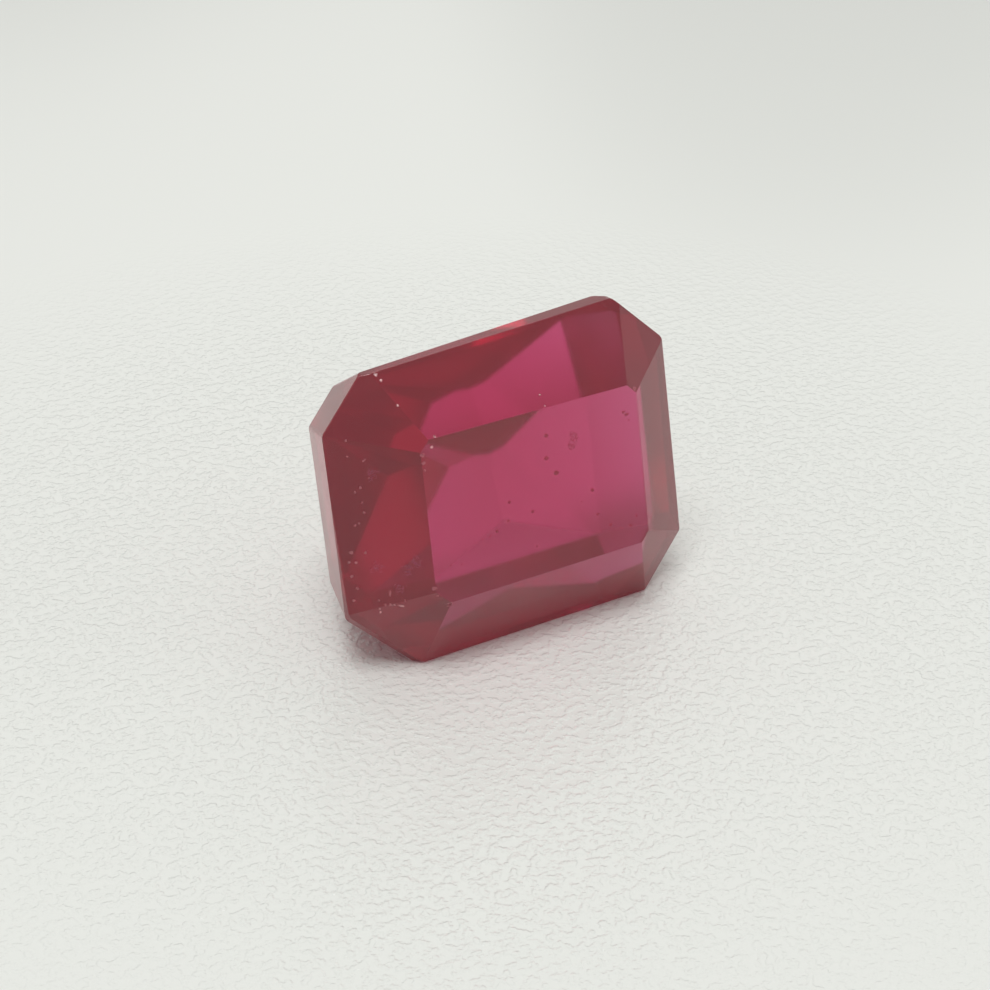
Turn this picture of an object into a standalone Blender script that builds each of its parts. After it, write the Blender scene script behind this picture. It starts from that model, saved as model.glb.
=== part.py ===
"""A loose emerald-cut ruby, lying on the long facet under its lower girdle edge.

The stone is one solid. It starts as a rough block and is cut facet by facet, the way a stone is cut on a
lap: each facet is a plane with a direction round the stone, a slope from the girdle and a place where it
starts. The stone was cut by hand, so its sides are not quite parallel and its girdle is uneven.

The stone's own frame has its origin on the axis at the girdle. +X runs along the long sides, +Y towards
the top long side, and +Z out of the table. The finished stone is turned to lie on its resting facet,
with the long sides along X and the table facing -Y. It stands on Z = 0, with the middle of its box at
X = Y = 0.
"""

import math

import bmesh
import bpy
from mathutils import Matrix, Vector

NAME = "ruby"

SIDES = ("right", "top_right", "top", "top_left", "left", "bottom_left", "bottom", "bottom_right")
RESTING_SIDE = "bottom"


def all_round(value, **uneven):
    """The same value for the eight sides, apart from the sides that were cut differently."""
    return {side: uneven.get(side, value) for side in SIDES}


# Main sizes, in metres
GIRDLE_LENGTH = 0.00960
GIRDLE_WIDTH = 0.00750
CROWN_HEIGHT = 0.00125
ROUGH_MARGIN = 0.0010
CORNER_CUT = all_round(0.00083, top_left=0.00093, bottom_left=0.00127, bottom_right=0.00088)

# How deep the first two tiers go below the girdle, in metres. The first goes deepest on the side that the stone
# lies on, which brings the back edge of the resting facet well past the stone's centre of mass.
FIRST_TIER_DEPTH = all_round(0.00207, bottom=0.00245)
SECOND_TIER_DEPTH = all_round(0.00320, bottom=0.00325, bottom_right=0.00326)

# How far the first tier stands out past the girdle's edge, in metres: it makes the girdle's thickness
GIRDLE_LIP = all_round(
    0.00002, right=0.00004, top_right=0.00016, top=0.00018, bottom_left=0.00015, bottom_right=0.00003
)

# Directions that the sides face, in degrees from +X towards +Y
EVEN_DIRECTIONS = {side: 45.0 * place for place, side in enumerate(SIDES)}
GIRDLE_TURN = all_round(0.0, right=-1.0, top=1.0, left=-1.0, bottom=-1.5)
CROWN_TURN = all_round(0.0, right=-2.0, top=-1.5, left=-2.5, bottom=-1.5)
FIRST_TIER_TURN = all_round(0.0, right=-2.0, top_right=-0.5, top=2.5, left=-2.0, bottom=-1.5)

# Slopes of the facets from the plane of the girdle, in degrees
CROWN_SLOPE = all_round(35.0, right=35.5, top=36.5, top_left=36.0, bottom_left=39.5)
GIRDLE_SLOPE = all_round(90.0, right=81.0, top_right=81.0, bottom_left=66.0)
FIRST_TIER_SLOPE = all_round(72.5, right=71.5, top=70.0, top_left=72.0, bottom_left=72.0, bottom=75.0)
SECOND_TIER_SLOPE = all_round(
    44.0, top_right=47.0, top_left=47.5, left=42.5, bottom_left=49.5, bottom=43.5, bottom_right=53.0
)
THIRD_TIER_SLOPE = all_round(
    22.5, top_right=21.0, top=31.5, top_left=17.0, left=20.5, bottom_left=14.5, bottom=33.0, bottom_right=14.0
)

# How close two points may be before they are one, in metres
WELD = 1e-7

COLOUR = (0.55, 0.03, 0.09, 1.0)
ROUGHNESS = 0.03
REFRACTIVE_INDEX = 1.766


def facing(side, turn):
    """The level direction that a side faces, once it is turned by its unevenness."""
    angle = math.radians(EVEN_DIRECTIONS[side] + turn[side])
    return Vector((math.cos(angle), math.sin(angle), 0.0))


def girdle_reach(side):
    """How far the girdle's side is from the stone's axis."""
    along = math.radians(EVEN_DIRECTIONS[side])
    reach = abs(math.cos(along)) * GIRDLE_LENGTH / 2 + abs(math.sin(along)) * GIRDLE_WIDTH / 2
    is_corner = "_" in side
    return reach - CORNER_CUT[side] if is_corner else reach


def cut_facet(stone, normal, point):
    """Cuts off what lies past the plane through the point, and closes the cut with the new facet."""
    geometry = stone.verts[:] + stone.edges[:] + stone.faces[:]
    cut = bmesh.ops.bisect_plane(
        stone, geom=geometry, dist=WELD, plane_co=point, plane_no=normal, clear_outer=True
    )
    rim = [item for item in cut["geom_cut"] if isinstance(item, bmesh.types.BMEdge)]
    if rim:
        bmesh.ops.edgeloop_fill(stone, edges=rim)


def rough_block():
    """The block that the stone is cut from, a little larger than the girdle and deep enough for its keel."""
    stone = bmesh.new()
    bmesh.ops.create_cube(stone, size=1.0)
    size = (GIRDLE_LENGTH + ROUGH_MARGIN, GIRDLE_WIDTH + ROUGH_MARGIN, 2 * GIRDLE_WIDTH)
    bmesh.ops.scale(stone, vec=size, verts=stone.verts)
    return stone


def cut_table(stone):
    """The flat top of the crown."""
    cut_facet(stone, Vector((0.0, 0.0, 1.0)), Vector((0.0, 0.0, CROWN_HEIGHT)))


def cut_girdle(stone):
    """The thin band round the stone's widest part. It is upright but for the sides that were ground askew."""
    for side in SIDES:
        slope = math.radians(GIRDLE_SLOPE[side])
        out = facing(side, GIRDLE_TURN)
        normal = out * math.sin(slope) + Vector((0.0, 0.0, math.cos(slope)))
        cut_facet(stone, normal, out * girdle_reach(side))


def cut_crown(stone):
    """The one ring of facets between the girdle and the table."""
    for side in SIDES:
        slope = math.radians(CROWN_SLOPE[side])
        normal = facing(side, CROWN_TURN) * math.sin(slope) + Vector((0.0, 0.0, math.cos(slope)))
        cut_facet(stone, normal, facing(side, GIRDLE_TURN) * girdle_reach(side))


def pavilion_normal(side, slopes, turns):
    """The outward normal of a facet below the girdle."""
    slope = math.radians(slopes[side])
    return facing(side, turns) * math.sin(slope) - Vector((0.0, 0.0, math.cos(slope)))


def cut_pavilion(stone):
    """The three rings of facets below the girdle, down to the keel. Each ring starts where the last one ends."""
    down = Vector((0.0, 0.0, -1.0))
    for side in SIDES:
        first_depth = FIRST_TIER_DEPTH[side]
        second_depth = SECOND_TIER_DEPTH[side]
        out = facing(side, GIRDLE_TURN)
        reach = girdle_reach(side) + GIRDLE_LIP[side]
        cut_facet(stone, pavilion_normal(side, FIRST_TIER_SLOPE, FIRST_TIER_TURN), out * reach)
        reach -= first_depth / math.tan(math.radians(FIRST_TIER_SLOPE[side]))
        start = out * reach + down * first_depth
        cut_facet(stone, pavilion_normal(side, SECOND_TIER_SLOPE, GIRDLE_TURN), start)
        reach -= (second_depth - first_depth) / math.tan(math.radians(SECOND_TIER_SLOPE[side]))
        start = out * reach + down * second_depth
        cut_facet(stone, pavilion_normal(side, THIRD_TIER_SLOPE, GIRDLE_TURN), start)


def lay_down(stone):
    """Turns the stone to lie on its resting facet and puts the middle of its box over the origin."""
    up = -pavilion_normal(RESTING_SIDE, FIRST_TIER_SLOPE, FIRST_TIER_TURN)
    along = Vector((1.0, 0.0, 0.0))
    along = (along - up * along.dot(up)).normalized()
    back = up.cross(along)
    bmesh.ops.transform(stone, matrix=Matrix((along, back, up)).to_4x4(), verts=stone.verts)
    lows = Vector([min(vert.co[axis] for vert in stone.verts) for axis in range(3)])
    highs = Vector([max(vert.co[axis] for vert in stone.verts) for axis in range(3)])
    middle = (lows + highs) / 2
    bmesh.ops.translate(stone, vec=(-middle.x, -middle.y, -lows.z), verts=stone.verts)


def ruby_material():
    """Clear, deep red crystal with a polished surface."""
    material = bpy.data.materials.new("ruby")
    material.use_nodes = True
    shader = material.node_tree.nodes["Principled BSDF"]
    shader.inputs["Base Color"].default_value = COLOUR
    shader.inputs["Roughness"].default_value = ROUGHNESS
    shader.inputs["Metallic"].default_value = 0.0
    shader.inputs["IOR"].default_value = REFRACTIVE_INDEX
    shader.inputs["Transmission Weight"].default_value = 1.0
    return material


def build_stone():
    """The whole ruby, as one object."""
    stone = rough_block()
    cut_table(stone)
    cut_girdle(stone)
    cut_crown(stone)
    cut_pavilion(stone)
    lay_down(stone)
    bmesh.ops.recalc_face_normals(stone, faces=stone.faces)
    mesh = bpy.data.meshes.new(NAME)
    stone.to_mesh(mesh)
    stone.free()
    mesh.materials.append(ruby_material())
    return bpy.data.objects.new(NAME, mesh)


def main():
    for leftover in list(bpy.data.objects):
        bpy.data.objects.remove(leftover, do_unlink=True)
    parts = bpy.data.collections.new(NAME)
    bpy.context.scene.collection.children.link(parts)
    parts.objects.link(build_stone())


main()
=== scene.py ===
"""A loose emerald-cut ruby that lies on one long side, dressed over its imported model.

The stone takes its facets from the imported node. Its edges are then worn a little, and the edges round its
table get small chips. The crystal gets its colour, pale flecks, dark crystals and streaks of silk. It lies
on a pale sheet in soft light.
"""
import logging
import math
from dataclasses import dataclass
from enum import Enum
from typing import Any, Union

import bmesh
import bpy
import numpy as np
from mathutils import Matrix, Vector


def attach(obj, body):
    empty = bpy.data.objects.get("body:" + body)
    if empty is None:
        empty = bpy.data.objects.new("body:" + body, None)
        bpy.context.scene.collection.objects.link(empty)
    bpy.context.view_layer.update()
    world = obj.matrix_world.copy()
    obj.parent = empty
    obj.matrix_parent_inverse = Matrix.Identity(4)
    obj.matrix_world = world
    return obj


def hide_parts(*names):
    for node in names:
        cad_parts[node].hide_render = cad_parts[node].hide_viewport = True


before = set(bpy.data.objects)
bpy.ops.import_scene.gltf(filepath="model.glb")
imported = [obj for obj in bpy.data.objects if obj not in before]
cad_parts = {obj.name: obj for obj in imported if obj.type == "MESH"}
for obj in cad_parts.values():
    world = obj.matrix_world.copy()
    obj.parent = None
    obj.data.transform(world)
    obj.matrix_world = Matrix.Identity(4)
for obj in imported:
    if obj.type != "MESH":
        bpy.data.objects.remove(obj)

MM = 0.001
STONE_NODE = "ruby"
BODY = "root"

CHIPPED = "chipped"

Colour = tuple[float, float, float]
Place = tuple[float, float, float]
log = logging.getLogger("ruby")

# Directions that the facets face, in the row frame
TABLE_FACET = (0.0, -0.97, 0.26)
TOP_CROWN = (0.0, -0.62, 0.78)
BOTTOM_CROWN = (0.0, -0.94, -0.34)
LEFT_CROWN = (-0.58, -0.79, 0.22)
RIGHT_CROWN = (0.58, -0.79, 0.21)


class Value:
    """A number on a node's socket. Python's operators on it add Math nodes."""

    def __init__(self, graph: "Graph", socket: bpy.types.NodeSocket) -> None:
        """Wraps a socket of the graph."""
        self.graph = graph
        self.socket = socket

    def _math(self, operation: str, first: "Number", second: "Number") -> "Value":
        """Adds one Math node.

        Args:
            operation: The Math node's operation.
            first: Its first number.
            second: Its second number.

        Returns:
            The node's result.
        """
        node = self.graph.node("ShaderNodeMath", {"operation": operation}, {0: first, 1: second})
        return Value(self.graph, node.outputs[0])

    def __add__(self, other: "Number") -> "Value":
        """self + other."""
        return self._math("ADD", self, other)

    def __rsub__(self, other: float) -> "Value":
        """other - self."""
        return self._math("SUBTRACT", other, self)

    def __mul__(self, other: "Number") -> "Value":
        """self * other."""
        return self._math("MULTIPLY", self, other)

    def step(self, low: float, high: float) -> "Value":
        """A smooth step from 0 at low to 1 at high."""
        settings = {"interpolation_type": "SMOOTHSTEP"}
        node = self.graph.node("ShaderNodeMapRange", settings, {0: self, 1: low, 2: high, 3: 0.0, 4: 1.0})
        return Value(self.graph, node.outputs[0])


Number = Union[Value, float]


class Graph:
    """A node tree that is written from Python."""

    def __init__(self, tree: bpy.types.NodeTree) -> None:
        """Takes over a tree and empties it."""
        self.tree = tree
        tree.nodes.clear()

    def node(
        self, kind: str, settings: dict[str, Any] | None = None, inputs: dict[int | str, Any] | None = None
    ) -> bpy.types.Node:
        """Adds a node.

        Args:
            kind: The node's type.
            settings: Its properties, which are set first. "stops" holds a ramp's two places and colours.
            inputs: What its sockets hold or are linked to, by number or name.

        Returns:
            The node.
        """
        node = self.tree.nodes.new(kind)
        for name, value in (settings or {}).items():
            if name == "stops":
                self._set_stops(node.color_ramp, value)
            else:
                setattr(node, name, value)
        for key, value in (inputs or {}).items():
            self.feed(node.inputs[key], value)
        return node

    def feed(self, socket: bpy.types.NodeSocket, value: Any) -> None:
        """Links a value or socket to the socket, or sets the socket's own value."""
        if isinstance(value, Value):
            self.tree.links.new(value.socket, socket)
        elif isinstance(value, bpy.types.NodeSocket):
            self.tree.links.new(value, socket)
        else:
            socket.default_value = value

    def _set_stops(self, ramp: bpy.types.ColorRamp, stops: list[tuple[float, Colour]]) -> None:
        """Gives a ramp its two places and colours."""
        for element, (place, colour) in zip(ramp.elements, stops):
            element.position = place
            element.color = (*colour, 1.0)

    def place(self) -> bpy.types.NodeSocket:
        """A point's place in the object's own coordinates."""
        return self.node("ShaderNodeTexCoord").outputs["Object"]

    def noise(self, scale: float, detail: float) -> Value:
        """Noise over the object's own coordinates, with its scale per metre."""
        inputs = {"Vector": self.place(), "Scale": scale, "Detail": detail}
        return Value(self, self.node("ShaderNodeTexNoise", None, inputs).outputs["Fac"])

    def distance(self) -> Value:
        """How far a point is from the object's origin."""
        node = self.node("ShaderNodeVectorMath", {"operation": "LENGTH"}, {0: self.place()})
        return Value(self, node.outputs["Value"])

    def attribute(self, name: str) -> Value:
        """A number that the mesh stores for each face."""
        return Value(self, self.node("ShaderNodeAttribute", {"attribute_name": name}).outputs["Fac"])

    def random(self, kind: str, low: Any, high: Any, seed: Any, salt: int) -> bpy.types.NodeSocket:
        """A random number or vector for each point.

        Args:
            kind: FLOAT or FLOAT_VECTOR.
            low: The least value.
            high: The greatest value.
            seed: The seed that the tree was given.
            salt: A number that keeps this choice apart from the tree's others.

        Returns:
            The random value's socket.
        """
        node = self.node("FunctionNodeRandomValue", {"data_type": kind})
        first = 0 if kind == "FLOAT_VECTOR" else 2
        self.feed(node.inputs[first], low)
        self.feed(node.inputs[first + 1], high)
        self.feed(node.inputs["Seed"], seed + salt)
        return node.outputs[0 if kind == "FLOAT_VECTOR" else 1]

    def bump(self, height: Value, distance: float) -> bpy.types.NodeSocket:
        """Turns a height from 0 to 1 into a normal, for bumps as high as the distance."""
        inputs = {"Strength": 1.0, "Distance": distance, "Height": height}
        return self.node("ShaderNodeBump", None, inputs).outputs["Normal"]


@dataclass(frozen=True)
class CrystalFinish:
    """Polished, clear red corundum, with light marks of polishing and a little matt haze.

    Densities and scales are per metre and heights in metres. The haze numbers are shares from 0 to 1.
    """

    name: str = "ruby_crystal"
    tint: Colour = (1.0, 0.90, 0.93)
    refraction: float = 1.766
    polish: float = 0.13
    smudge: float = 0.05
    smudge_scale: float = 900.0
    smudge_detail: float = 3.0
    smudge_low: float = 0.45
    smudge_high: float = 0.75
    wave_scale: float = 700.0
    wave_detail: float = 1.0
    wave_height: float = 0.0004 * MM
    absorbed_density: float = 640.0
    absorbed_colour: Colour = (0.83, 0.07, 0.50)
    haze: float = 0.15
    haze_colour: Colour = (0.95, 0.05, 0.11)
    haze_roughness: float = 0.4
    chip_haze: float = 0.35
    chip_colour: Colour = (0.90, 0.50, 0.52)

    def build(self) -> bpy.types.Material:
        """Makes the material.

        Returns:
            The crystal's material, with plain transmission and absorption.
        """
        material = bpy.data.materials.new(self.name)
        material.use_nodes = True
        graph = Graph(material.node_tree)
        smudges = graph.noise(self.smudge_scale, self.smudge_detail).step(self.smudge_low, self.smudge_high)
        waves = graph.noise(self.wave_scale, self.wave_detail)
        shader = graph.node(
            "ShaderNodeBsdfPrincipled",
            None,
            {
                "Base Color": (*self.tint, 1.0),
                "Roughness": smudges * self.smudge + self.polish,
                "IOR": self.refraction,
                "Transmission Weight": 1.0,
                "Normal": graph.bump(waves, self.wave_height),
            },
        )
        inside = graph.node(
            "ShaderNodeVolumeAbsorption",
            None,
            {"Color": (*self.absorbed_colour, 1.0), "Density": self.absorbed_density},
        )
        chipped = graph.attribute(CHIPPED)
        inputs = {0: chipped, 6: (*self.haze_colour, 1.0), 7: (*self.chip_colour, 1.0)}
        colour = graph.node("ShaderNodeMix", {"data_type": "RGBA"}, inputs).outputs[2]
        inputs = {"Base Color": colour, "Roughness": self.haze_roughness}
        haze = graph.node("ShaderNodeBsdfPrincipled", None, inputs)
        share = chipped * self.chip_haze + self.haze
        mix = graph.node("ShaderNodeMixShader", None, {0: share, 1: shader.outputs[0], 2: haze.outputs[0]})
        output = graph.node("ShaderNodeOutputMaterial")
        graph.feed(output.inputs["Surface"], mix.outputs[0])
        graph.feed(output.inputs["Volume"], inside.outputs[0])
        return material


@dataclass(frozen=True)
class FleckFinish:
    """The look of the small solid specks in the crystal. Scales are per metre."""

    name: str
    pale: Colour
    deep: Colour
    roughness: float
    roughness_range: float = 0.3
    grain_scale: float = 30000.0
    grain_detail: float = 2.0
    deep_below: float = 0.35
    pale_above: float = 0.65

    def build(self) -> bpy.types.Material:
        """Makes the material, which goes from pale to deep over each speck.

        Returns:
            The specks' material.
        """
        material = bpy.data.materials.new(self.name)
        material.use_nodes = True
        graph = Graph(material.node_tree)
        grain = graph.noise(self.grain_scale, self.grain_detail)
        stops = [(self.deep_below, self.deep), (self.pale_above, self.pale)]
        blend = graph.node("ShaderNodeValToRGB", {"stops": stops}, {0: grain})
        roughness = grain * self.roughness_range + self.roughness
        inputs = {"Base Color": blend.outputs["Color"], "Roughness": roughness}
        shader = graph.node("ShaderNodeBsdfPrincipled", None, inputs)
        output = graph.node("ShaderNodeOutputMaterial")
        graph.feed(output.inputs["Surface"], shader.outputs[0])
        return material


@dataclass(frozen=True)
class TableFinish:
    """The pale, slightly glossy sheet that the stone lies on.

    Its fine bumps are at their full height up to one distance from the stone and gone past another.
    """

    name: str = "pale_sheet"
    colour: Colour = (0.80, 0.815, 0.785)
    roughness: float = 0.12
    peel_scale: float = 4300.0
    peel_detail: float = 2.0
    peel_low: float = 0.42
    peel_high: float = 0.66
    peel_height: float = 0.02 * MM
    peel_full: float = 10.0 * MM
    peel_gone: float = 26.0 * MM

    def build(self) -> bpy.types.Material:
        """Makes the material.

        Returns:
            The sheet's material, with its fine orange-peel surface round the stone.
        """
        material = bpy.data.materials.new(self.name)
        material.use_nodes = True
        graph = Graph(material.node_tree)
        away = graph.distance().step(self.peel_full, self.peel_gone)
        bumps = graph.noise(self.peel_scale, self.peel_detail).step(self.peel_low, self.peel_high)
        peel = bumps * (1.0 - away)
        shader = graph.node(
            "ShaderNodeBsdfPrincipled",
            None,
            {
                "Base Color": (*self.colour, 1.0),
                "Roughness": self.roughness,
                "Normal": graph.bump(peel, self.peel_height),
            },
        )
        output = graph.node("ShaderNodeOutputMaterial")
        graph.feed(output.inputs["Surface"], shader.outputs[0])
        return material


class Tier(Enum):
    """The kinds of facet, by how far their normal leans from the table's, in degrees."""

    TABLE = (0.0, 10.0)
    CROWN = (10.0, 55.0)
    GIRDLE = (55.0, 100.0)
    FIRST = (100.0, 120.0)
    PAVILION = (120.0, 180.0)

    @classmethod
    def of(cls, normal: Vector, axis: Vector) -> "Tier":
        """The kind of the facet with that normal, on a stone whose table faces along axis."""
        lean = math.degrees(normal.angle(axis))
        return next(tier for tier in cls if tier.value[0] <= lean <= tier.value[1])


@dataclass
class Facet:
    """One flat face of the stone, with its own level and rising directions."""

    centre: Vector
    normal: Vector

    @property
    def across(self) -> Vector:
        """The level direction in the facet, to the right as it is seen from outside."""
        return Vector((0.0, 0.0, 1.0)).cross(self.normal).normalized()

    @property
    def rise(self) -> Vector:
        """The steepest direction in the facet, upwards."""
        return self.normal.cross(self.across)

    def frame(self) -> Matrix:
        """The matrix from the facet's own directions to the row frame: across, rise and outwards."""
        turn = Matrix((self.across, self.rise, self.normal)).transposed().to_4x4()
        return Matrix.Translation(self.centre) @ turn


class ConvexBody:
    """A convex solid that is cut by planes, in double precision so that hair-fine cuts leave it closed."""

    slack: float = 1e-10

    def __init__(self, half: float) -> None:
        """Starts as a rough cube, from -half to half each way."""
        signs = [(x, y, z) for x in (-1, 1) for y in (-1, 1) for z in (-1, 1)]
        self.points = np.array(signs, dtype=np.float64) * half
        self.faces: list[list[int]] = []
        for axis in range(3):
            for side in (-1, 1):
                outward = np.zeros(3)
                outward[axis] = side
                corners = [index for index, sign in enumerate(signs) if sign[axis] == side]
                self.faces.append(self._ring(corners, outward))

    def cut(self, normal: Vector, point: Vector) -> None:
        """Cuts off what lies past a plane and closes the cut.

        Args:
            normal: The plane's outward normal.
            point: A point on the plane.
        """
        outward = np.array(normal, dtype=np.float64)
        outward /= np.linalg.norm(outward)
        heights = self.points @ outward - outward @ np.array(point, dtype=np.float64)
        gone = heights > self.slack
        rim: dict[tuple[int, int], int] = {}
        touching: set[int] = set()
        added: list[np.ndarray] = []
        faces = []
        for face in self.faces:
            kept = []
            for start, end in zip(face, face[1:] + face[:1]):
                if not gone[start]:
                    kept.append(start)
                if gone[start] == gone[end]:
                    continue
                low, high = (end, start) if gone[start] else (start, end)
                if heights[low] > -self.slack:
                    touching.add(low)
                    continue
                if (low, high) not in rim:
                    share = heights[low] / (heights[low] - heights[high])
                    rim[low, high] = len(self.points) + len(added)
                    added.append(self.points[low] + (self.points[high] - self.points[low]) * share)
                kept.append(rim[low, high])
            if len(kept) > 2:
                faces.append(kept)
        corners = [*rim.values(), *touching]
        if len(corners) < 3:
            return
        if added:
            self.points = np.vstack([self.points, added])
        self.faces = [*faces, self._ring(corners, outward)]

    def _ring(self, corners: list[int], outward: np.ndarray) -> list[int]:
        """Puts the corners of a flat convex face in order, anticlockwise from outside."""
        places = self.points[corners]
        spokes = places - places.mean(axis=0)
        first = spokes[0] / np.linalg.norm(spokes[0])
        angles = np.arctan2(spokes @ np.cross(outward, first), spokes @ first)
        return [corners[index] for index in np.argsort(angles)]

    def to_bmesh(self, weld: float) -> bmesh.types.BMesh:
        """The solid as a mesh, with points closer than weld made one."""
        mesh = bmesh.new()
        used = sorted({index for face in self.faces for index in face})
        verts = {index: mesh.verts.new(self.points[index]) for index in used}
        for face in self.faces:
            mesh.faces.new([verts[index] for index in face])
        bmesh.ops.remove_doubles(mesh, verts=mesh.verts, dist=weld)
        bmesh.ops.recalc_face_normals(mesh, faces=mesh.faces)
        return mesh


class SpeckTree:
    """The Geometry Nodes tree that puts small angular grains on the points of a mesh."""

    DENT = 0.25
    SOCKETS = {
        "Geometry": "NodeSocketGeometry",
        "Count": "NodeSocketInt",
        "Spread": "NodeSocketFloat",
        "Size": "NodeSocketFloat",
        "Uneven": "NodeSocketFloat",
        "Stretch": "NodeSocketFloat",
        "Seed": "NodeSocketInt",
        "Material": "NodeSocketMaterial",
    }

    def __init__(self) -> None:
        """Builds the tree."""
        self.tree = bpy.data.node_groups.new("specks", "GeometryNodeTree")
        self.sockets = {
            name: self.tree.interface.new_socket(name, in_out="INPUT", socket_type=kind).identifier
            for name, kind in self.SOCKETS.items()
        }
        self.tree.interface.new_socket("Geometry", in_out="OUTPUT", socket_type="NodeSocketGeometry")
        graph = Graph(self.tree)
        given = graph.node("NodeGroupInput").outputs
        size, uneven, spread = (Value(graph, given[name]) for name in ("Size", "Uneven", "Spread"))
        stretch, seed = Value(graph, given["Stretch"]), Value(graph, given["Seed"])
        shape = graph.node("GeometryNodeMeshIcoSphere", None, {"Radius": 1.0, "Subdivisions": 1})
        dents = graph.random("FLOAT_VECTOR", (-self.DENT,) * 3, (self.DENT,) * 3, seed, 1)
        inputs = {"Geometry": shape.outputs["Mesh"], "Offset": dents}
        grain = graph.node("GeometryNodeSetPosition", None, inputs)
        inputs = {"Geometry": given["Geometry"], "Amount": given["Count"]}
        copies = graph.node("GeometryNodeDuplicateElements", {"domain": "POINT"}, inputs)
        low, high = (
            graph.node("ShaderNodeCombineXYZ", None, {0: reach, 1: reach, 2: reach}).outputs[0]
            for reach in (spread * -1.0, spread)
        )
        offset = graph.random("FLOAT_VECTOR", low, high, seed, 2)
        inputs = {"Geometry": copies.outputs["Geometry"], "Offset": offset}
        points = graph.node("GeometryNodeSetPosition", None, inputs)
        turns = graph.random("FLOAT_VECTOR", (0.0,) * 3, (math.tau,) * 3, seed, 3)
        own = Value(graph, graph.random("FLOAT", size * (1.0 - uneven), size * (uneven + 1.0), seed, 4))
        scale = graph.node("ShaderNodeCombineXYZ", None, {0: own, 1: own, 2: own * stretch})
        grains = graph.node(
            "GeometryNodeInstanceOnPoints",
            None,
            {
                "Points": points.outputs["Geometry"],
                "Instance": grain.outputs["Geometry"],
                "Rotation": turns,
                "Scale": scale.outputs[0],
            },
        )
        real = graph.node("GeometryNodeRealizeInstances", None, {"Geometry": grains.outputs["Instances"]})
        inputs = {"Geometry": real.outputs["Geometry"], "Material": given["Material"]}
        dressed = graph.node("GeometryNodeSetMaterial", None, inputs)
        graph.node("NodeGroupOutput", None, {"Geometry": dressed.outputs["Geometry"]})


@dataclass(frozen=True)
class Grains:
    """The size, number and unevenness of a group of specks, with lengths in metres."""

    size: float
    stretch: float = 1.0
    uneven: float = 0.3
    count: int = 1
    spread: float = 0.0
    seed: int = 1

    def grow(
        self, name: str, points: list[Vector], tree: SpeckTree, material: bpy.types.Material
    ) -> bpy.types.Object:
        """Makes the grains round the points.

        Args:
            name: The object's name.
            points: Where the grains are, in the row frame.
            tree: The tree that makes them.
            material: Their look.

        Returns:
            One object with all the grains, in the scene.
        """
        dots = bpy.data.meshes.new(name + "_points")
        dots.from_pydata(points, [], [])
        piece = bpy.data.objects.new(name, dots)
        bpy.context.scene.collection.objects.link(piece)
        modifier = piece.modifiers.new("specks", "NODES")
        modifier.node_group = tree.tree
        settings = {
            "Count": self.count,
            "Spread": self.spread,
            "Size": self.size,
            "Uneven": self.uneven,
            "Stretch": self.stretch,
            "Seed": self.seed,
            "Material": material,
        }
        for key, value in settings.items():
            modifier[tree.sockets[key]] = value
        evaluated = piece.evaluated_get(bpy.context.evaluated_depsgraph_get())
        mesh = bpy.data.meshes.new_from_object(evaluated)
        mesh.name = name
        piece.modifiers.clear()
        piece.data = mesh
        return piece


@dataclass
class Specks:
    """Specks at one facet, which is found by the direction that it faces.

    Their places are across, up and outwards from the facet's middle, in millimetres.
    """

    name: str
    faces: Place
    places: tuple[Place, ...]
    grains: Grains

    def points(self, stone: "CutStone") -> list[Vector]:
        """The places in the row frame."""
        frame_of = stone.facet(Vector(self.faces)).frame()
        return [frame_of @ (Vector(place) * MM) for place in self.places]

    def build(self, stone: "CutStone", tree: SpeckTree, material: bpy.types.Material) -> bpy.types.Object:
        """Makes the specks.

        Args:
            stone: The stone that they are in.
            tree: The tree that makes them.
            material: Their look.

        Returns:
            The specks' object.
        """
        piece = self.grains.grow(self.name, self.points(stone), tree, material)
        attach(piece, BODY)
        log.info("%s: %d faces", self.name, len(piece.data.polygons))
        return piece


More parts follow.
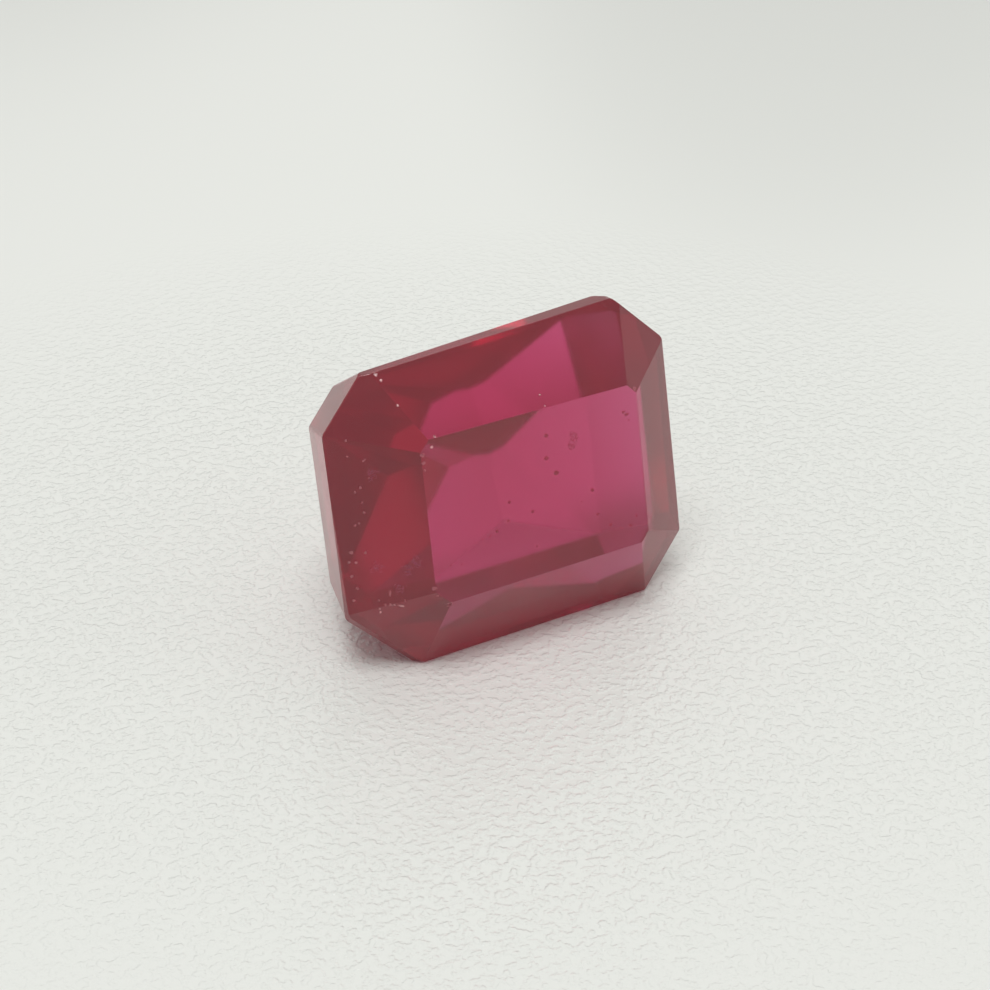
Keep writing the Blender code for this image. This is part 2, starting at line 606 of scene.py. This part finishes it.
@dataclass
class CutStone:
    """The ruby itself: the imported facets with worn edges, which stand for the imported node.

    Lengths are in metres and same_plane is in degrees. A facet counts as large from large_share of the
    biggest one's area, and chip_reach is how far a chip's faces lie from its middle, in grain sizes.
    """

    node: str = STONE_NODE
    rough: float = 20.0 * MM
    weld: float = 1e-7
    same_plane: float = 0.1
    large_share: float = 0.05
    chip_reach: float = 1.6
    crown_wear: float = 0.016 * MM
    rim_wear: float = 0.03 * MM
    corner_wear: float = 0.22 * MM
    keel_wear: float = 0.02 * MM
    wear_cuts: int = 3
    corner_cuts: int = 7

    def facets(self) -> bmesh.types.BMesh:
        """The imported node's faces, merged to whole facets.

        Returns:
            The stone as a mesh of flat facets, in the row frame.
        """
        stone = bmesh.new()
        stone.from_mesh(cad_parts[self.node].data)
        bmesh.ops.remove_doubles(stone, verts=stone.verts, dist=self.weld)
        bmesh.ops.dissolve_limit(
            stone, angle_limit=math.radians(self.same_plane), verts=stone.verts, edges=stone.edges
        )
        stone.verts.index_update()
        stone.normal_update()
        return stone

    def facet(self, direction: Vector) -> Facet:
        """The large facet whose normal is nearest to a direction."""
        stone = self.facets()
        biggest = max(face.calc_area() for face in stone.faces)
        large = [face for face in stone.faces if face.calc_area() > biggest * self.large_share]
        nearest = max(large, key=lambda face: face.normal.dot(direction))
        found = Facet(nearest.calc_center_bounds(), nearest.normal.copy())
        stone.free()
        return found

    def table(self) -> Facet:
        """The table, which faces the front."""
        return self.facet(Vector(TABLE_FACET))

    def wear_of(self, first: Tier, second: Tier) -> tuple[float, int]:
        """How far the edge between two kinds of facet is worn.

        Args:
            first: One facet's kind.
            second: The other facet's kind.

        Returns:
            The radius of the worn edge, and the number of cuts that round it.
        """
        kinds = {first, second}
        if kinds == {Tier.GIRDLE} or kinds == {Tier.FIRST}:
            return self.corner_wear, self.corner_cuts
        if Tier.GIRDLE in kinds:
            return self.rim_wear, self.wear_cuts
        if kinds <= {Tier.TABLE, Tier.CROWN}:
            return self.crown_wear, self.wear_cuts
        return self.keel_wear, self.wear_cuts

    def worn(self) -> bmesh.types.BMesh:
        """The stone with all its edges worn: each edge is rounded by a few narrow cuts along it.

        Returns:
            The finished mesh.
        """
        axis = self.table().normal
        sharp = self.facets()
        body = ConvexBody(self.rough)
        for face in sharp.faces:
            body.cut(face.normal, face.calc_center_median())
        for edge in sharp.edges:
            first, second = (face.normal for face in edge.link_faces)
            radius, cuts = self.wear_of(Tier.of(first, axis), Tier.of(second, axis))
            centre = edge.verts[0].co - (first + second) * (radius / (1.0 + first.dot(second)))
            for place in range(cuts):
                normal = first.slerp(second, (place + 1) / (cuts + 1)).normalized()
                body.cut(normal, centre + normal * radius)
        sharp.free()
        return body.to_bmesh(self.weld)

    def chip(self, piece: bpy.types.Object, chips: list[Specks], tree: SpeckTree) -> None:
        """Cuts small chips out of the stone's edges and marks their faces.

        Args:
            piece: The stone's object.
            chips: The shapes that are cut out.
            tree: The tree that makes them.
        """
        material = piece.data.materials[0]
        centres = []
        for group in chips:
            points = group.points(self)
            centres += [(point, group.grains.size * self.chip_reach) for point in points]
            cutter = group.grains.grow(group.name, points, tree, material)
            cut = piece.modifiers.new(group.name, "BOOLEAN")
            cut.operation = "DIFFERENCE"
            cut.solver = "EXACT"
            cut.object = cutter
            evaluated = piece.evaluated_get(bpy.context.evaluated_depsgraph_get())
            mesh = bpy.data.meshes.new_from_object(evaluated)
            piece.modifiers.clear()
            piece.data = mesh
            bpy.data.objects.remove(cutter)
        marks = piece.data.attributes.new(CHIPPED, "FLOAT", "FACE")
        widest = max(reach for point, reach in centres)
        for face in piece.data.polygons:
            near = any((face.center - point).length < reach for point, reach in centres)
            small = face.area < widest**2
            marks.data[face.index].value = 1.0 if near and small else 0.0

    def build(self, finish: CrystalFinish, chips: list[Specks], tree: SpeckTree) -> bpy.types.Object:
        """Makes the stone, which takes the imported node's place.

        Args:
            finish: The crystal's look.
            chips: The chips in its edges.
            tree: The tree that makes the chips' shapes.

        Returns:
            The stone's object.
        """
        stone = self.worn()
        mesh = bpy.data.meshes.new("stone")
        stone.to_mesh(mesh)
        stone.free()
        mesh.materials.append(finish.build())
        piece = bpy.data.objects.new("stone", mesh)
        bpy.context.scene.collection.objects.link(piece)
        self.chip(piece, chips, tree)
        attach(piece, BODY)
        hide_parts(self.node)
        log.info("stone: %d faces", len(piece.data.polygons))
        return piece


@dataclass
class View:
    """The camera: where it looks from, in degrees and metres, and what it looks at."""

    azimuth: float = 32.94
    drop: float = 30.40
    roll: float = 1.59
    distance: float = 53.28 * MM
    aim: tuple[float, float, float] = (-0.39 * MM, -1.116 * MM, 3.42 * MM)
    lens: float = 79.8
    near: float = 1.0 * MM
    far: float = 10.0

    @property
    def ahead(self) -> Vector:
        """The direction that the camera looks in."""
        turn, drop = math.radians(self.azimuth), math.radians(self.drop)
        return Vector((math.sin(turn) * math.cos(drop), math.cos(turn) * math.cos(drop), -math.sin(drop)))

    @property
    def right(self) -> Vector:
        """The level direction to the camera's right."""
        return self.ahead.cross(Vector((0.0, 0.0, 1.0))).normalized()

    def direction(self, turn: float, height: float) -> Vector:
        """A direction in degrees from the camera's right, towards what is behind the stone, and upwards."""
        along, rise = math.radians(turn), math.radians(height)
        away = Vector((self.ahead.x, self.ahead.y, 0.0)).normalized()
        level = self.right * math.cos(along) + away * math.sin(along)
        return level * math.cos(rise) + Vector((0.0, 0.0, math.sin(rise)))

    def build(self) -> bpy.types.Object:
        """Makes the camera and hands it to the scene.

        Returns:
            The camera's object.
        """
        lens = bpy.data.cameras.new("camera")
        lens.lens = self.lens
        lens.clip_start = self.near
        lens.clip_end = self.far
        camera = bpy.data.objects.new("camera", lens)
        level = (-self.ahead).to_track_quat("Z", "Y").to_matrix()
        turned = level @ Matrix.Rotation(math.radians(self.roll), 3, "Z")
        place = Vector(self.aim) - self.ahead * self.distance
        camera.matrix_world = Matrix.Translation(place) @ turned.to_4x4()
        bpy.context.scene.collection.objects.link(camera)
        bpy.context.scene.camera = camera
        return camera


@dataclass
class Softbox:
    """One soft square lamp, placed by its direction from the stone as the camera sees it.

    Turn and height are in degrees, power in watts, size and distance in metres.
    """

    name: str = "overhead"
    turn: float = -110.0
    height: float = 74.0
    power: float = 5.2
    size: float = 0.48
    distance: float = 1.0

    def build(self, view: View) -> bpy.types.Object:
        """Makes the lamp.

        Args:
            view: The camera, from whose right the lamp's turn is counted.

        Returns:
            The lamp's object.
        """
        lamp = bpy.data.lights.new(self.name, "AREA")
        lamp.energy = self.power
        lamp.size = self.size
        piece = bpy.data.objects.new(self.name, lamp)
        direction = view.direction(self.turn, self.height)
        facing = direction.to_track_quat("Z", "Y").to_matrix().to_4x4()
        piece.matrix_world = Matrix.Translation(direction * self.distance) @ facing
        bpy.context.scene.collection.objects.link(piece)
        return piece


@dataclass(frozen=True)
class Glow:
    """A round place in the room that is brighter or darker than the rest, with its angles in degrees."""

    turn: float
    height: float
    colour: Colour
    inner: float
    outer: float


@dataclass
class Room:
    """The even light of the room, with soft bright and dark places. Each place is a Glow."""

    dim: Colour = (0.42, 0.42, 0.405)
    glows: tuple[Glow, ...] = (
        Glow(turn=0.0, height=0.0, colour=(0.95, 0.94, 0.91), inner=14.0, outer=45.0),
        Glow(turn=88.0, height=44.0, colour=(0.98, 0.98, 0.95), inner=16.0, outer=36.0),
        Glow(turn=-26.0, height=13.0, colour=(0.38, 0.38, 0.37), inner=5.0, outer=12.0),
        Glow(turn=82.0, height=16.0, colour=(0.29, 0.29, 0.285), inner=3.0, outer=10.5),
        Glow(turn=104.0, height=10.0, colour=(0.26, 0.26, 0.255), inner=4.0, outer=11.0),
        Glow(turn=96.0, height=-3.0, colour=(0.56, 0.56, 0.54), inner=4.0, outer=6.5),
    )

    def build(self, view: View) -> bpy.types.World:
        """Makes the world.

        Args:
            view: The camera, from whose right the glows' turns are counted.

        Returns:
            The world.
        """
        world = bpy.data.worlds.new("room")
        world.use_nodes = True
        graph = Graph(world.node_tree)
        where = graph.node("ShaderNodeTexCoord").outputs["Generated"]
        colour: Any = (*self.dim, 1.0)
        for glow in self.glows:
            middle = view.direction(glow.turn, glow.height)
            inputs = {0: where, 1: middle}
            towards = graph.node("ShaderNodeVectorMath", {"operation": "DOT_PRODUCT"}, inputs)
            outer, inner = (math.cos(math.radians(angle)) for angle in (glow.outer, glow.inner))
            share = Value(graph, towards.outputs["Value"]).step(outer, inner)
            inputs = {0: share, 6: colour, 7: (*glow.colour, 1.0)}
            colour = graph.node("ShaderNodeMix", {"data_type": "RGBA"}, inputs).outputs[2]
        back = graph.node("ShaderNodeBackground", None, {"Color": colour, "Strength": 1.0})
        output = graph.node("ShaderNodeOutputWorld")
        graph.feed(output.inputs["Surface"], back.outputs[0])
        bpy.context.scene.world = world
        return world


@dataclass
class Table:
    """The wide pale sheet under the stone, with its sizes in metres."""

    width: float = 1.2
    gap: float = 0.01 * MM

    def build(self, finish: TableFinish) -> bpy.types.Object:
        """Makes the sheet, a hair below the stone.

        Args:
            finish: The sheet's look.

        Returns:
            The sheet's object.
        """
        sheet = bmesh.new()
        bmesh.ops.create_grid(sheet, x_segments=1, y_segments=1, size=self.width / 2)
        bmesh.ops.translate(sheet, vec=(0.0, 0.0, -self.gap), verts=sheet.verts)
        mesh = bpy.data.meshes.new("table_top")
        sheet.to_mesh(mesh)
        sheet.free()
        mesh.materials.append(finish.build())
        piece = bpy.data.objects.new("table_top", mesh)
        bpy.context.scene.collection.objects.link(piece)
        return piece


def chips() -> list[Specks]:
    """The small chips in the edges round the table."""
    nicks = Grains(size=0.045 * MM, uneven=0.35, seed=3)
    large_nick = Grains(size=0.07 * MM, stretch=1.8, seed=5)
    return [
        Specks(
            "left_chips",
            LEFT_CROWN,
            ((0.92, 1.81, 0.0), (0.95, 1.62, 0.0), (0.98, 1.45, 0.0), (1.38, -1.6, 0.0), (1.3, -1.42, 0.0)),
            nicks,
        ),
        Specks("top_chips", TOP_CROWN, ((-3.39, 0.74, 0.0), (-2.64, -1.1, 0.0), (0.38, -1.08, 0.0)), nicks),
        Specks("right_chips", RIGHT_CROWN, ((-0.75, 2.1, 0.0),), nicks),
        Specks("bottom_chips", BOTTOM_CROWN, ((-3.0, 1.0, 0.0),), large_nick),
    ]


def pale_flecks() -> list[Specks]:
    """The pale flecks at the surface, most of them in two trails along the left crown facet."""
    fine = Grains(size=0.036 * MM, uneven=0.35, stretch=1.3, seed=11)
    trail = (
        (-0.81, 1.68, 0.006), (-0.49, 0.95, 0.006), (-0.61, 0.83, 0.003), (-0.44, 0.59, 0.003),
        (-0.39, 0.35, 0.003), (-0.5, 0.08, 0.006), (-0.59, 0.02, 0.006), (-0.34, -0.63, 0.006),
        (-0.67, -0.65, 0.006), (-0.71, -0.9, 0.006), (-0.55, -0.89, 0.006), (-0.64, -1.24, 0.006),
        (-0.51, -1.53, 0.006), (-0.58, -1.84, 0.006), (-0.85, 2.05, 0.003), (-0.3, 1.2, 0.003),
    )
    cluster = (
        (0.01, -1.8, 0.006), (0.16, -1.89, 0.006), (0.28, -1.88, 0.006), (0.37, -1.88, 0.006),
        (0.05, -2.1, 0.006), (0.03, -2.0, 0.003),
    )
    long = ((-0.42, 1.61, 0.006), (0.27, -1.61, 0.006), (0.52, -1.9, 0.003), (0.62, -1.75, 0.003))
    top = ((0.38, -0.78, -0.028), (-3.33, 0.57, -0.024), (-3.19, -0.13, -0.024))
    broad = Grains(size=0.04 * MM, stretch=1.6, seed=14)
    return [
        Specks("trail_flecks", LEFT_CROWN, trail, fine),
        Specks("cluster_flecks", LEFT_CROWN, cluster, Grains(size=0.03 * MM, uneven=0.2, seed=12)),
        Specks("long_flecks", LEFT_CROWN, long, Grains(size=0.026 * MM, stretch=3.0, seed=13)),
        Specks("top_flecks", TOP_CROWN, top, fine),
        Specks("table_flecks", TABLE_FACET, ((-2.67, 1.82, -0.018),), broad),
    ]


def dark_crystals() -> list[Specks]:
    """The dark crystals deeper in the stone, under the table."""
    single = (
        (0.63, 1.2, -0.8), (0.56, 0.66, -0.8), (-0.59, -0.15, -0.8), (-0.68, -0.6, -0.8),
        (0.03, -1.44, -0.8), (1.75, -0.46, -0.8), (0.84, 0.21, -0.9), (1.46, -0.69, -0.9),
        (0.06, -0.57, -0.9),
    )
    right = (
        (2.9, 1.21, -0.6), (2.95, 1.05, -0.6), (2.85, 1.27, -0.7), (1.85, -1.1, -0.8),
        (2.16, -1.45, -0.7), (2.44, -1.6, -0.7), (2.7, -1.6, -0.6), (2.9, -1.4, -0.6),
    )
    left = (
        (-2.09, -1.31, -0.7), (-2.38, -1.25, -0.7), (-1.01, -0.77, -0.8), (-1.22, -0.84, -0.8),
        (-1.42, -0.88, -0.8),
    )
    hazy = ((1.49, 0.96, -1.1), (1.4, 0.75, -1.1))
    groups = (
        ("single_crystals", single, Grains(size=0.046 * MM, uneven=0.5, seed=21)),
        ("right_crystals", right, Grains(size=0.03 * MM, uneven=0.5, stretch=1.6, seed=22)),
        ("left_crystals", left, Grains(size=0.03 * MM, uneven=0.4, stretch=1.8, seed=23)),
        ("crystal_cloud", hazy, Grains(size=0.013 * MM, count=45, spread=0.10 * MM, seed=24)),
    )
    return [Specks(name, TABLE_FACET, places, grains) for name, places, grains in groups]


def silk() -> list[Specks]:
    """The hazy streaks of fine needles under the left crown facet."""
    streaks = (
        (0.84, -0.83, -0.3), (0.64, -1.07, -0.3), (-0.09, -1.07, -0.3), (0.48, -1.53, -0.3),
        (-0.24, 1.23, -0.3),
    )
    needles = Grains(size=0.0035 * MM, stretch=22.0, count=26, spread=0.12 * MM, uneven=0.4, seed=31)
    return [Specks("silk", LEFT_CROWN, streaks, needles)]


PALE_FLECK = FleckFinish("pale_fleck", pale=(0.86, 0.60, 0.58), deep=(0.72, 0.42, 0.45), roughness=0.45)
DARK_CRYSTAL = FleckFinish("dark_crystal", pale=(0.75, 0.17, 0.28), deep=(0.45, 0.07, 0.13), roughness=0.3)
SILK_NEEDLE = FleckFinish("silk_needle", pale=(0.72, 0.45, 0.66), deep=(0.55, 0.30, 0.48), roughness=0.4)


def corners(box: tuple[Vector, Vector]) -> list[list[float]]:
    """A box as plain lists of numbers."""
    return [list(corner) for corner in box]


def main() -> None:
    """Builds the stone with its chips and specks, the table, the light and the camera."""
    logging.basicConfig(level=logging.INFO, format="%(message)s")
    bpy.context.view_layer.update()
    bpy.context.scene.view_settings.view_transform = "Standard"
    view = View()
    view.build()
    Room().build(view)
    Softbox().build(view)
    Table().build(TableFinish())
    tree = SpeckTree()
    stone = CutStone()
    stone.build(CrystalFinish(), chips(), tree)
    inclusions = ((pale_flecks(), PALE_FLECK), (dark_crystals(), DARK_CRYSTAL), (silk(), SILK_NEEDLE))
    for group, finish in inclusions:
        look = finish.build()
        for specks in group:
            specks.build(stone, tree, look)


if __name__ == "__main__":
    main()
